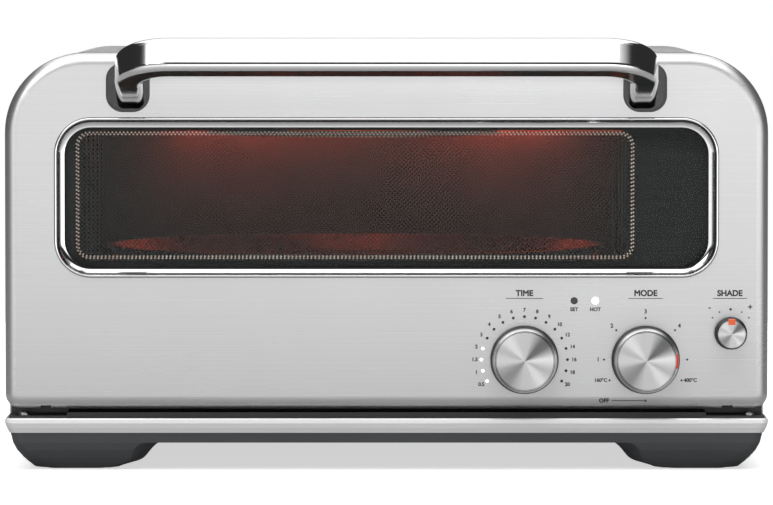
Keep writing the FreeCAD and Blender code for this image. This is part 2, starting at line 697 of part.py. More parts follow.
# ---------------------------------------------------------------- deck and pan
def deck_carrier():
    """A shallow square tray with an open floor that slides on the runners."""
    mid = CAV_MID[0]
    x0, x1, y0, y1 = mid - 164.5, mid + 164.5, -136.0, 193.0
    frame = box(x0, x1, y0, y1, RUNNER_Z + 1.5, 116)
    frame = frame.cut(box(x0 + 1.2, x1 - 1.2, y0 + 1.2, y1 - 1.2, STONE_Z[0], 120))
    frame = frame.cut(box(x0 + 16, x1 - 16, y0 + 16, y1 - 16, 100, 110))
    return frame.cut(box(x0 + 20, x1 - 20, y0 - 1, y0 + 1.3, 112, 120))


def stone_deck():
    half, (x, y) = STONE / 2, CAV_MID
    slab = floor_prism(x - half, x + half, y + 0.5 - half, y + 0.5 + half, 4, *STONE_Z)
    return slab.makeChamfer(1.2, [e for e in slab.Edges if e.BoundBox.ZMin > STONE_Z[1] - 1e-4])


def pizza_pan():
    """A thin round pan with a sloped wall and a rolled rim, lying on the deck."""
    z, t, r = STONE_Z[1] + 0.3, 1.2, PAN_R
    outline = [(0, z), (r - 13, z), (r - 3.5, z + 9), (r - 1.6, z + 9.3), (r - 0.4, z + 9.8), (r, z + 10.6),
               (r - 0.4, z + 11.4), (r - 1.4, z + 11.8), (r - 3, z + 11.6), (r - 4.4, z + 10.2),
               (r - 13.6, z + t), (0, z + t)]
    return revolve_z(outline, (CAV_MID[0], PAN_Y))


# ---------------------------------------------------------------- hinges
def hinge_brackets():
    """An ear on each side that reaches forward from the frame into the door and holds the pin."""
    face = FRAME_FRONT - 1.2
    flange = box(HINGE_X - 6, HINGE_X + 8, face, FRAME_FRONT, BAND_TOP + 1.8, 56)
    arm = box(HINGE_X - EAR_HALF, HINGE_X + EAR_HALF, HINGE_Y, face, HINGE_Z - 3, HINGE_Z + 3)
    eye = rod(EYE_R, (HINGE_X - EAR_HALF, HINGE_Y, HINGE_Z), X_DIR, 2 * EAR_HALF)
    ear = fuse([flange, arm, eye]).cut(rod(PIN_R, (HINGE_X - 9, HINGE_Y, HINGE_Z), X_DIR, 20))
    return Part.makeCompound([ear, mirror_x(ear)])


def hinge_pins():
    pin = rod(PIN_R, (HINGE_X - PIN_STEP, HINGE_Y, HINGE_Z), X_DIR, 2 * PIN_STEP)
    pin = pin.fuse(rod(PIN_NECK_R, (HINGE_X + PIN_STEP, HINGE_Y, HINGE_Z), X_DIR, 8.5))
    return Part.makeCompound([pin, mirror_x(pin)])


def hinge_springs():
    """Coils on the pins' outer ends that take part of the door's weight."""
    wire_r, coil_r, pitch = 0.8, 2.7, 1.9
    helix = Part.makeHelix(pitch, pitch * 3, coil_r)
    ring = Part.Wire([Part.Circle(V(coil_r, 0, 0), Y_DIR, wire_r).toShape()])
    coil = Part.Wire(helix.Edges).makePipeShell([ring], True, True)
    coil.rotate(V(0, 0, 0), Y_DIR, 90)
    coil.translate(V(HINGE_X + PIN_STEP + wire_r + 0.3, HINGE_Y, HINGE_Z))
    return Part.makeCompound([coil, mirror_x(coil)])


# ---------------------------------------------------------------- base
def hull_ring(z, inset):
    r = max(BASE_CORNER, inset + 1)
    return rounded(-BASE_HALF + inset, BASE_HALF - inset, BASE_FRONT + inset, BASE_BACK - inset,
                   [r] * 4, lambda a, b: V(a, b, z))


def hull(levels):
    return Part.makeLoft([hull_ring(z, inset) for z, inset in levels], True, True)


def base_trim():
    """The bright band round the base, whose face leans in towards its lower edge."""
    return hull(BAND).cut(box(-227, 227, BASE_FRONT + 7, BASE_BACK - 7, BAND_LOW - 1, BAND_TOP + 1))


def arch(across, half, face, inward, grow=0.0):
    """The space between two feet.  Its mouth, on the outer face, is wider than the space behind it.
    across says that the space runs through from front to back; grow makes it larger all round."""
    middle = (BASE_FRONT + BASE_BACK) / 2
    flare, mouth_depth = 15.0, 26.0

    def outline(w, at):
        def place(a, b):
            return V(a, at, b) if across else V(at, middle + a, b)
        side = [(31, -0.4), (19, 4.0), (13, 6.6), (8.6, 11.6), (4.6, 15.4), (0, ARCH_TOP)]
        right = [(w + grow + a, b + grow) for a, b in side]
        left = [(-a, b) for a, b in reversed(right)]
        curves = []
        for points in (right, left):
            curve = Part.BSplineCurve()
            curve.interpolate([place(*p) for p in points])
            curves.append(curve.toShape())
        low = [(right[0][0], -9), (left[-1][0], -9)]
        joins = [(right[-1], left[0]), (left[-1], low[1]), (low[1], low[0]), (low[0], right[0])]
        lines = [Part.LineSegment(place(*a), place(*b)).toShape() for a, b in joins]
        return Part.Wire([curves[0], lines[0], curves[1]] + lines[1:])
    deep = face + inward * mouth_depth
    mouth = Part.makeLoft([outline(half, face - inward), outline(half - flare, deep)], True, True)
    through = Part.Face(outline(half - flare, deep))
    run = V(0, inward * 200, 0) if across else V(inward * 240, 0, 0)
    return [mouth, through.extrude(run)]


def arches(grow=0.0):
    tools = arch(True, 152.5, BASE_FRONT, 1, grow) + arch(True, 152.5, BASE_BACK, -1, grow)
    return tools + arch(False, 112, -BASE_HALF, 1, grow) + arch(False, 112, BASE_HALF, -1, grow)


def base_tub():
    """The dark moulding under the body: a hollow skirt, 3 mm thick, with a foot at each corner."""
    return cut(hull(TUB), arches() + [cut(hull(TUB_HOLLOW), arches(3.0))])


def foot_pads():
    return Part.makeCompound([floor_prism(x - 18, x + 18, y - 11, y + 11, 6, 0, FOOT_Z) for x, y in PAD_SPOTS])


def floor_plate():
    """The body's floor, with cooling slots under the electronics."""
    plate = box(-233, 233, -166, BODY_BACK - 2.6, BAND_TOP, BAND_TOP + 1.5)
    slots = [floor_prism(x, x + 2, -60, 60, 0.99, 20, 40) for x in range(172, 228, 4)]
    return plate.cut(Part.makeCompound(slots))


def floor_screws():
    """Domed screws at the floor plate's corners, through to the base."""
    spots = [(side * 224, y) for side in (-1, 1) for y in (-158, 198)]
    top = BAND_TOP + 1.5
    screws = []
    for x, y in spots:
        head = rod(3.4, (x, y, top), Z_DIR, 2.4)
        dome = [e for e in head.Edges if e.BoundBox.ZMin > top + 2.3]
        screws.append(head.makeFillet(1.6, dome))
    return Part.makeCompound(screws)


def front_sill():
    """The black strip that shows in the gap under the door."""
    return box(-197, 197, -169, FRAME_FRONT - 1.5, BAND_TOP + 1.5, 36.2)


# ---------------------------------------------------------------- right-hand bay
def power_board():
    """The power board with its relays, transformer and capacitors, on posts on a folded bracket."""
    floor = BAND_TOP + 1.5
    bracket = [box(167, 168.2, -129, -5, floor, 195), box(167, 185, -129, -5, floor, floor + 1.2)]
    posts = [rod(2.5, (168.2, y, z), X_DIR, 3) for y in (-119, -14) for z in (64, 186)]
    board = box(171.2, 172.8, -124, -8, 60, 190)
    pieces = [fuse(bracket + posts), board]
    for z in (150, 172):
        pieces += [box(172.8, 188, y, y + 19, z - 8, z + 7) for y in (-110, -84, -58)]
    pieces += [box(172.8, 198, -110, -70, 95, 130), box(172.8, 190, -60, -38, 100, 126)]
    pieces += [rod(4.2, (172.8, y, 110), X_DIR, 18) for y in (-30, -18)]
    return Part.makeCompound(pieces)


def line_filter():
    """The mains filter on the floor plate, with three blade tabs on top."""
    tabs = [box(180 + i * 12, 186 + i * 12, 128, 129, 62, 70) for i in range(3)]
    return fuse([box(176, 216, 110, 150, BAND_TOP + 1.5, 62)] + tabs)


def bay_wiring():
    """Insulated leads from the heaters' legs to the power board, each at a level of its own."""
    leads = []
    for (y, z), level in zip(lead_spots(), (140, 146, 158, 164, 134, 152, 170, 176)):
        x = 188 + (level - 134) * 0.45
        route = [(LEG_END, y, z), (x, y, z), (x, y, level), (x, -14, level), (172.8, -14, level)]
        leads.append(bent_tube(route, 4.0, 1.2))
    return Part.makeCompound(leads)


def cord_gland():
    """Bush for the mains cord, clamped through the rear panel with a nut inside."""
    x, z = GLAND
    inside = BODY_BACK - 1.2
    bush = [rod(8.0, (x, 206, z), Y_DIR, 9), rod(11.0, (x, BODY_BACK, z), Y_DIR, 3),
            rod(11.0, (x, 207, z), Y_DIR, inside - 207), Part.makeCone(8.0, 6.2, 11, V(x, 215, z), Y_DIR)]
    return fuse(bush).cut(rod(4.25, (x, 200, z), Y_DIR, 40))


def wall_spacers():
    """Buffers that keep the back of the oven off the wall."""
    spacers = []
    for x in (-150, 150):
        base = wall_prism(x - 24, x + 24, 226, 240, [6.9] * 4, BODY_BACK, BODY_BACK + 4)
        nose = wall_prism(x - 20, x + 20, 228, 238, [4.9] * 4, BODY_BACK + 4, DEPTH / 2)
        spacers.append(fuse([base, nose]))
    return Part.makeCompound(spacers)


def fan_housing():
    """Square fan frame with struts to the motor, and the motor's own shaft."""
    x, z = FAN_MID
    frame = wall_prism(x - 30, x + 30, z - 30, z + 30, [4] * 4, 194, 209).cut(rod(28, (x, 190, z), Y_DIR, 30))
    strut = box(x - 29, x + 29, 206.5, 209, z - 1.5, z + 1.5)
    parts = [frame, rod(9, (x, 199, z), Y_DIR, 10), rod(1.5, (x, 195, z), Y_DIR, 5)]
    parts += [strut.rotated(V(x, 0, z), Y_DIR, angle) for angle in (45, 135)]
    return cut(fuse(parts), [rod(2, (x + dx, 190, z + dz), Y_DIR, 30) for dx in (-25, 25) for dz in (-25, 25)])


def fan_impeller():
    """Seven swept blades on a cup that turns round the motor."""
    x, z = FAN_MID
    cup = rod(12.5, (x, 195, z), Y_DIR, 10).cut(rod(10, (x, 197, z), Y_DIR, 10))
    cup = cup.cut(rod(1.5 + PIN_PLAY, (x, 194, z), Y_DIR, 10))
    blade = box(x + 11.8, x + 26.5, -0.6, 0.6, z - 5.2, z + 5.2)
    blade.rotate(V(x, 0, z), X_DIR, 50)
    blade.translate(V(0, 200, 0))
    blades = [blade.rotated(V(x, 0, z), Y_DIR, 360 / 7 * i) for i in range(7)]
    return fuse([cup] + [b.cut(rod(11.9, (x, 190, z), Y_DIR, 20)) for b in blades])


def main():
    style_knob, style_pointer = style_parts()
    shade_knob, shade_pointer = shade_parts()
    parts = {
        "door_outer_panel": door_outer_panel(), "door_inner_panel": door_inner_panel(),
        "window_bezel": window_bezel(), "window_outer_glass": window_outer_glass(),
        "window_mask": window_mask(), "window_inner_glass": window_inner_glass(),
        "glass_clips": glass_clips(),
        "door_brackets": door_brackets(), "handle_bar": handle_bar(), "handle_cups": handle_cups(),
        "handle_screws": handle_screws(), "dial_washers": dial_washers(),
        "control_board": control_board(), "control_shield": control_shield(),
        "timer_encoder": timer_encoder(), "dial_switches": dial_switches(),
        "lights_lit": lights_lit(), "lights_unlit": lights_unlit(),
        "timer_plunger": timer_plunger(), "timer_shaft": timer_shaft(), "timer_knob": timer_knob(),
        "style_shaft": style_shaft(), "style_knob": style_knob, "style_pointer": style_pointer,
        "shade_shaft": shade_shaft(), "shade_knob": shade_knob, "shade_pointer": shade_pointer,
        "outer_shell": outer_shell(), "rear_panel": rear_panel(), "rear_screws": rear_screws(),
        "front_frame": front_frame(), "door_gasket": door_gasket(), "cavity_liner": cavity_liner(),
        "insulation": insulation(), "cavity_supports": cavity_supports(),
        "upper_heaters": heaters(*HIGH_ROD_Z), "lower_heaters": heaters(LOW_ROD_Z, LOW_ROD_Z),
        "heater_terminals": heater_terminals(), "heat_deflector": heat_deflector(),
        "deck_runners": deck_runners(), "thermostat_probe": thermostat_probe(),
        "deck_carrier": deck_carrier(), "stone_deck": stone_deck(), "pizza_pan": pizza_pan(),
        "hinge_brackets": hinge_brackets(), "hinge_pins": hinge_pins(), "hinge_springs": hinge_springs(),
        "base_trim": base_trim(), "base_tub": base_tub(), "foot_pads": foot_pads(),
        "floor_plate": floor_plate(), "floor_screws": floor_screws(), "front_sill": front_sill(),
        "power_board": power_board(),
        "line_filter": line_filter(), "bay_wiring": bay_wiring(), "cord_gland": cord_gland(),
        "wall_spacers": wall_spacers(), "fan_housing": fan_housing(), "fan_impeller": fan_impeller(),
    }
    os.makedirs("parts", exist_ok=True)
    for name, shape in parts.items():
        shape.exportStep(f"parts/{name}.step")
        state = "closed" if shape.isValid() and shape.Solids else "FAULTY"
        print(f"{name}: {len(shape.Solids)} solid(s), {shape.Volume / 1000:.2f} cm3, {state}")
    print(len(parts), "nodes")


main()
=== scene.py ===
import math
import bpy
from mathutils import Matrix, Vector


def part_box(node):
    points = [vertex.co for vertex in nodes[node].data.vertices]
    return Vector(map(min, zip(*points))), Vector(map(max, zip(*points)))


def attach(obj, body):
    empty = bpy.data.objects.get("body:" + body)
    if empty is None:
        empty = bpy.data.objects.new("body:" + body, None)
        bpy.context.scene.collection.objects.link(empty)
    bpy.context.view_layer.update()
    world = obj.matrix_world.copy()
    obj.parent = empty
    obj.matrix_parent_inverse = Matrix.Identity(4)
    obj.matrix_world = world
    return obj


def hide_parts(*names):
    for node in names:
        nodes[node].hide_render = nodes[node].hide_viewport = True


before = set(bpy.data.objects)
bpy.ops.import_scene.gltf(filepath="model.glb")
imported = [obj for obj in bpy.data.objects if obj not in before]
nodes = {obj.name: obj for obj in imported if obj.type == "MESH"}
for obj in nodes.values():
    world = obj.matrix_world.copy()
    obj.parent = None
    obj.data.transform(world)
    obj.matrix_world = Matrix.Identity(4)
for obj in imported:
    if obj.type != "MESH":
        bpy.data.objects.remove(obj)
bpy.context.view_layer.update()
mm = 0.001


# small helpers for selecting and placing

def selectOnly(*objects):
    bpy.ops.object.select_all(action="DESELECT")
    for thing in objects:
        thing.select_set(True)
    bpy.context.view_layer.objects.active = objects[0]


def pickFaces(thing, wanted):
    # wanted(centre, normal, area) says which faces the next operator acts on
    mesh = thing.data
    for group in (mesh.vertices, mesh.edges):
        for part in group:
            part.select = False
    for face in mesh.polygons:
        face.select = bool(wanted(face.center, face.normal, face.area))
    bpy.ops.object.mode_set(mode="EDIT")
    bpy.ops.mesh.select_mode(type="FACE")


def backToObject():
    bpy.ops.object.mode_set(mode="OBJECT")


def settle(thing):
    # the place and turn go into the mesh, so the object sits at the origin
    selectOnly(thing)
    bpy.ops.object.transform_apply(location=True, rotation=True, scale=True)


def addModifier(thing, kind, **values):
    selectOnly(thing)
    modifier = thing.modifiers.new(kind.title(), kind)
    for key, value in values.items():
        setattr(modifier, key, value)
    bpy.ops.object.modifier_apply(modifier=modifier.name)


def join(name, pieces):
    selectOnly(*pieces)
    if len(pieces) > 1:
        bpy.ops.object.join()
    whole = bpy.context.view_layer.objects.active
    whole.name = whole.data.name = name
    return whole


def paint(thing, material):
    thing.data.materials.clear()
    thing.data.materials.append(material)


def middle(node):
    low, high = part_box(node)
    return (low + high) / 2


# node helpers for the finishes

def blank(name):
    material = bpy.data.materials.new(name)
    material.use_nodes = True
    tree = material.node_tree
    return material, tree, tree.nodes["Principled BSDF"]


def addNode(tree, kind, settings=None, **sockets):
    node = tree.nodes.new("ShaderNode" + kind)
    for key, value in (settings or {}).items():
        setattr(node, key, value)
    for key, value in sockets.items():
        node.inputs[key].default_value = value
    return node


def spread(tree, source, low, high, lowIn=0.3, highIn=0.7):
    # brings a noise value into the range low to high
    node = addNode(tree, "MapRange")
    for key, value in (("From Min", lowIn), ("From Max", highIn), ("To Min", low), ("To Max", high)):
        node.inputs[key].default_value = value
    tree.links.new(source, node.inputs["Value"])
    return node.outputs["Result"]


def combine(tree, how, a, b):
    node = addNode(tree, "Math", {"operation": how})
    for index, value in enumerate((a, b)):
        if isinstance(value, (int, float)):
            node.inputs[index].default_value = value
        else:
            tree.links.new(value, node.inputs[index])
    return node.outputs[0]


def gapFrom(tree, value, centre):
    return combine(tree, "ABSOLUTE", combine(tree, "SUBTRACT", value, centre), 0.0)


def grainNoise(tree, stretch, scale, detail=5.0, rough=0.6, centre=(0, 0, 0)):
    place = addNode(tree, "TexCoord")
    mapping = addNode(tree, "Mapping")
    mapping.inputs["Scale"].default_value = stretch
    mapping.inputs["Location"].default_value = centre
    noise = addNode(tree, "TexNoise", Scale=scale, Detail=detail, Roughness=rough)
    tree.links.new(place.outputs["Object"], mapping.inputs["Vector"])
    tree.links.new(mapping.outputs["Vector"], noise.inputs["Vector"])
    return noise.outputs["Fac"]


def blendTones(tree, factor, dark, light):
    mix = addNode(tree, "Mix", {"data_type": "RGBA"})
    tree.links.new(factor, mix.inputs["Factor"])
    colours = [socket for socket in mix.inputs if socket.type == "RGBA"]
    colours[0].default_value = (*dark, 1)
    colours[1].default_value = (*light, 1)
    return [socket for socket in mix.outputs if socket.type == "RGBA"][0]


def bumpFrom(tree, height, strength, distance):
    bump = addNode(tree, "Bump", Strength=strength, Distance=distance)
    tree.links.new(height, bump.inputs["Height"])
    return bump.outputs["Normal"]


def finish(name, look):
    # look: dark, light, rough (low, high), metal, stretch, scale, bump (strength, distance),
    # smudge (how much large soft patches change the roughness), sockets (constants on the shader)
    material, tree, shader = blank(name)
    grain = grainNoise(tree, look.get("stretch", (1, 1, 1)), look["scale"], look.get("detail", 5.0))
    tone = spread(tree, grain, 0, 1)
    patches = grainNoise(tree, (1, 1, 1), look.get("patch", 14.0), 3.0)
    tint = combine(tree, "ADD", combine(tree, "MULTIPLY", tone, 0.7),
                   combine(tree, "MULTIPLY", spread(tree, patches, 0, 1), 0.3))
    tree.links.new(blendTones(tree, tint, look["dark"], look["light"]), shader.inputs["Base Color"])
    smudge = look.get("smudge", 0.04)
    roughness = combine(tree, "ADD", spread(tree, grain, *look["rough"]),
                        spread(tree, patches, -smudge, smudge))
    tree.links.new(roughness, shader.inputs["Roughness"])
    tree.links.new(bumpFrom(tree, grain, *look["bump"]), shader.inputs["Normal"])
    shader.inputs["Metallic"].default_value = look.get("metal", 0.0)
    for key, value in look.get("sockets", {}).items():
        shader.inputs[key].default_value = value
    return material, tree, shader


def brushAlong(tree, shader, across):
    # the highlight runs across the grain; across is that direction on the piece
    turn = addNode(tree, "VectorTransform", {"vector_type": "VECTOR", "convert_from": "OBJECT",
                                             "convert_to": "WORLD"})
    turn.inputs["Vector"].default_value = across
    tree.links.new(turn.outputs["Vector"], shader.inputs["Tangent"])


# finishes

steelLooks = {
    "doorSteel": dict(dark=(0.60, 0.60, 0.605), light=(0.68, 0.68, 0.685), rough=(0.27, 0.34), metal=0.86,
                      stretch=(3, 260, 900), scale=1.6, bump=(0.10, 0.00006), smudge=0.02,
                      sockets={"Anisotropic": 0.72}),
    "shellSteel": dict(dark=(0.60, 0.60, 0.605), light=(0.68, 0.68, 0.685), rough=(0.28, 0.36), metal=0.86,
                       stretch=(260, 4, 260), scale=2.2, bump=(0.10, 0.00006), smudge=0.03,
                       sockets={"Anisotropic": 0.6}),
    "handleSteel": dict(dark=(0.72, 0.72, 0.725), light=(0.78, 0.78, 0.785), rough=(0.09, 0.14), metal=1.0,
                        stretch=(6, 300, 300), scale=2.0, bump=(0.04, 0.00003), smudge=0.02),
    "polishedSteel": dict(dark=(0.74, 0.74, 0.745), light=(0.80, 0.80, 0.805), rough=(0.05, 0.09), metal=1.0,
                          scale=420.0, bump=(0.02, 0.00002), smudge=0.02),
    "bandSteel": dict(dark=(0.88, 0.88, 0.885), light=(0.94, 0.94, 0.945), rough=(0.14, 0.22), metal=0.2,
                      stretch=(4, 120, 120), scale=2.0, bump=(0.02, 0.00002), smudge=0.02),
    "plainSheet": dict(dark=(0.46, 0.46, 0.465), light=(0.56, 0.56, 0.56), rough=(0.32, 0.44), metal=1.0,
                       stretch=(3, 90, 90), scale=3.0, bump=(0.08, 0.00006)),
    "springSteel": dict(dark=(0.40, 0.40, 0.41), light=(0.56, 0.56, 0.57), rough=(0.22, 0.36), metal=1.0,
                        scale=600.0, bump=(0.06, 0.00005)),
    "panSteel": dict(dark=(0.30, 0.30, 0.30), light=(0.42, 0.415, 0.41), rough=(0.24, 0.38), metal=1.0,
                     scale=220.0, bump=(0.08, 0.00008), smudge=0.08),
}
made = {}
for name, look in steelLooks.items():
    made[name] = finish(name, look)
brushAlong(*made["doorSteel"][1:], (0, 0, 1))
brushAlong(*made["shellSteel"][1:], (0, 1, 0))
steels = {name: parts[0] for name, parts in made.items()}


zincLook = {"crystals": 95.0, "tones": (0.2, 0.8), "dark": (0.42, 0.43, 0.44), "light": (0.56, 0.57, 0.58),
            "rough": (0.30, 0.46), "bump": (0.05, 0.0001)}


def zincSheet(look):
    # galvanised sheet: flat crystals, each with its own tone
    material, tree, shader = blank("zincSheet")
    place = addNode(tree, "TexCoord")
    cells = addNode(tree, "TexVoronoi", Scale=look["crystals"])
    tree.links.new(place.outputs["Object"], cells.inputs["Vector"])
    tone = spread(tree, cells.outputs["Color"], 0, 1, *look["tones"])
    tree.links.new(blendTones(tree, tone, look["dark"], look["light"]), shader.inputs["Base Color"])
    tree.links.new(spread(tree, cells.outputs["Color"], *look["rough"], *look["tones"]), shader.inputs["Roughness"])
    tree.links.new(bumpFrom(tree, cells.outputs["Distance"], *look["bump"]), shader.inputs["Normal"])
    shader.inputs["Metallic"].default_value = 1.0
    return material


# a dark skirt and groove at the rim, painted shade of the gap under the dial and of the groove, as distances and a
# share of the radius, and two darker sectors drawn on the face, a painted reflection of the spun highlight: each has
# its middle, half width and soft edge in degrees clockwise from the top, and its tone
spunLook = {"rings": 4200.0, "ringTone": 0.7, "skirt": (1.5 * mm, 0.9 * mm), "skirtShadeTone": 0.05, "groove": 0.87,
            "grooveEdge": (0.1 * mm, 0.3 * mm), "grooveShadeTone": 0.15, "dark": (0.02, 0.02, 0.02),
            "light": (0.86, 0.86, 0.865), "rough": (0.36, 0.42), "bump": (0.10, 0.00004),
            "reflectionSectors": ((48, 9, 26, 0.34), (-125, 18, 30, 0.62))}


def spunMetal(name, node, look):
    # fine turned rings round the dial's own axis, with the highlight running outwards
    material, tree, shader = blank(name)
    place = addNode(tree, "TexCoord")
    shift = addNode(tree, "VectorMath", {"operation": "SUBTRACT"})
    shift.inputs[1].default_value = middle(node)
    flat = addNode(tree, "VectorMath", {"operation": "MULTIPLY"})
    flat.inputs[1].default_value = (1, 0, 1)
    radius = addNode(tree, "VectorMath", {"operation": "LENGTH"})
    tree.links.new(place.outputs["Object"], shift.inputs[0])
    tree.links.new(shift.outputs[0], flat.inputs[0])
    tree.links.new(flat.outputs[0], radius.inputs[0])
    rings = addNode(tree, "TexNoise", {"noise_dimensions": "1D"}, Scale=look["rings"], Detail=3.0, Roughness=0.7)
    tree.links.new(radius.outputs["Value"], rings.inputs["W"])
    low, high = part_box(node)
    rim = (high.x - low.x) / 2
    start, end = look["skirt"]
    # painted shade: the dial's outer skirt darkens towards the rim, for the shaded gap under it
    face = spread(tree, radius.outputs["Value"], 1, look["skirtShadeTone"], rim - start, rim - end)
    # painted shade in the groove round the face
    groove = spread(tree, gapFrom(tree, radius.outputs["Value"], rim * look["groove"]), look["grooveShadeTone"], 1,
                    *look["grooveEdge"])
    tone = combine(tree, "MULTIPLY", spread(tree, rings.outputs["Fac"], look["ringTone"], 1),
                   combine(tree, "MULTIPLY", face, groove))
    sides = addNode(tree, "SeparateXYZ")
    tree.links.new(flat.outputs[0], sides.inputs[0])
    angle = combine(tree, "ARCTAN2", sides.outputs["X"], sides.outputs["Z"])
    # painted reflection: darker sectors of the spun metal's bow-tie highlight, fixed on the face
    for facing, half, soft, reflectionTone in look["reflectionSectors"]:
        reflectionSector = spread(tree, gapFrom(tree, angle, math.radians(facing)), reflectionTone, 1, math.radians(half),
                        math.radians(half + soft))
        tone = combine(tree, "MULTIPLY", tone, reflectionSector)
    tree.links.new(blendTones(tree, tone, look["dark"], look["light"]), shader.inputs["Base Color"])
    tree.links.new(spread(tree, rings.outputs["Fac"], *look["rough"]), shader.inputs["Roughness"])
    tree.links.new(bumpFrom(tree, rings.outputs["Fac"], *look["bump"]), shader.inputs["Normal"])
    tangent = addNode(tree, "Tangent", {"direction_type": "RADIAL", "axis": "Y"})
    tree.links.new(tangent.outputs[0], shader.inputs["Tangent"])
    for key, value in (("Metallic", 1.0), ("Anisotropic", 1.0), ("Anisotropic Rotation", 0.25)):
        shader.inputs[key].default_value = value
    return material


glassLook = {"haze": 9.0, "rough": (0.015, 0.05), "tint": (0.90, 0.92, 0.91, 1), "ior": 1.10}


def windowGlass(look):
    # clear pane: sees through, with the mirror strength of glass at each angle
    material, tree, shader = blank("windowGlass")
    haze = grainNoise(tree, (1, 1, 1), look["haze"], 3.0)
    glossy = tree.nodes.new("ShaderNodeBsdfGlossy")
    glossy.inputs["Color"].default_value = (1, 1, 1, 1)
    tree.links.new(spread(tree, haze, *look["rough"]), glossy.inputs["Roughness"])
    clear = tree.nodes.new("ShaderNodeBsdfTransparent")
    clear.inputs["Color"].default_value = look["tint"]
    fresnel = addNode(tree, "Fresnel", IOR=look["ior"])
    mix = tree.nodes.new("ShaderNodeMixShader")
    tree.links.new(fresnel.outputs[0], mix.inputs["Fac"])
    tree.links.new(clear.outputs[0], mix.inputs[1])
    tree.links.new(glossy.outputs[0], mix.inputs[2])
    tree.links.new(mix.outputs[0], tree.nodes["Material Output"].inputs["Surface"])
    tree.nodes.remove(shader)
    return material


glowLook = {"dark": (0.10, 0.08, 0.07), "light": (0.16, 0.12, 0.10), "rough": (0.35, 0.55)}


def glowing(name, cold, hot, strength, scale=60.0):
    # heated rod or lit lens: the light varies a little over the surface
    material, tree, shader = blank(name)
    noise = grainNoise(tree, (1, 1, 1), scale, 3.0)
    tree.links.new(blendTones(tree, spread(tree, noise, 0, 1), cold, hot), shader.inputs["Emission Color"])
    tree.links.new(blendTones(tree, spread(tree, noise, 0, 1), glowLook["dark"], glowLook["light"]),
                   shader.inputs["Base Color"])
    tree.links.new(spread(tree, noise, *glowLook["rough"]), shader.inputs["Roughness"])
    shader.inputs["Emission Strength"].default_value = strength
    return material


ropeLook = {"strands": 420.0, "wobble": 0.6, "lean": 0.7, "dark": (0.10, 0.095, 0.09), "light": (0.30, 0.29, 0.27),
            "rough": (0.8, 0.95), "bump": (0.6, 0.0004)}


def ropeSeal(look):
    # woven glass-fibre rope
    material, tree, shader = blank("ropeSeal")
    place = addNode(tree, "TexCoord")
    waves = []
    for turn in (look["lean"], -look["lean"]):
        mapping = addNode(tree, "Mapping")
        mapping.inputs["Rotation"].default_value = (0, turn, 0)
        wave = addNode(tree, "TexWave", Scale=look["strands"], Distortion=look["wobble"])
        tree.links.new(place.outputs["Object"], mapping.inputs["Vector"])
        tree.links.new(mapping.outputs["Vector"], wave.inputs["Vector"])
        waves.append(wave.outputs["Fac"])
    weave = combine(tree, "MAXIMUM", *waves)
    tree.links.new(blendTones(tree, weave, look["dark"], look["light"]), shader.inputs["Base Color"])
    tree.links.new(bumpFrom(tree, weave, *look["bump"]), shader.inputs["Normal"])
    tree.links.new(spread(tree, weave, *look["rough"], 0, 1), shader.inputs["Roughness"])
    return material


woolLook = {"fibres": 160.0, "layers": (1, 1, 6), "dark": (0.42, 0.38, 0.22), "light": (0.72, 0.68, 0.46),
            "rough": (0.85, 1.0), "bump": (0.9, 0.001)}


def mineralWool(look):
    # tangled fibres in soft layers
    material, tree, shader = blank("mineralWool")
    fibres = grainNoise(tree, look["layers"], look["fibres"], 8.0, 0.8)
    tree.links.new(blendTones(tree, spread(tree, fibres, 0, 1), look["dark"], look["light"]),
                   shader.inputs["Base Color"])
    tree.links.new(bumpFrom(tree, fibres, *look["bump"]), shader.inputs["Normal"])
    tree.links.new(spread(tree, fibres, *look["rough"]), shader.inputs["Roughness"])
    return material


boardLook = {"tracks": 260.0, "lacquer": ((0.010, 0.10, 0.035, 1), (0.014, 0.13, 0.05, 1)),
             "copper": (0.03, 0.20, 0.08, 1), "grain": 180.0, "rough": (0.25, 0.42), "bump": (0.15, 0.0001)}


def circuitBoard(look):
    # green lacquer with lighter copper tracks under it
    material, tree, shader = blank("circuitBoard")
    place = addNode(tree, "TexCoord")
    bricks = addNode(tree, "TexBrick", Scale=look["tracks"])
    bricks.inputs["Color1"].default_value, bricks.inputs["Color2"].default_value = look["lacquer"]
    bricks.inputs["Mortar"].default_value = look["copper"]
    swing = addNode(tree, "Mapping")
    swing.inputs["Rotation"].default_value = (math.pi / 2, 0, 0)
    tree.links.new(place.outputs["Object"], swing.inputs["Vector"])
    tree.links.new(swing.outputs["Vector"], bricks.inputs["Vector"])
    tree.links.new(bricks.outputs["Color"], shader.inputs["Base Color"])
    noise = grainNoise(tree, (1, 1, 1), look["grain"])
    tree.links.new(spread(tree, noise, *look["rough"]), shader.inputs["Roughness"])
    tree.links.new(bumpFrom(tree, bricks.outputs["Fac"], *look["bump"]), shader.inputs["Normal"])
    return material


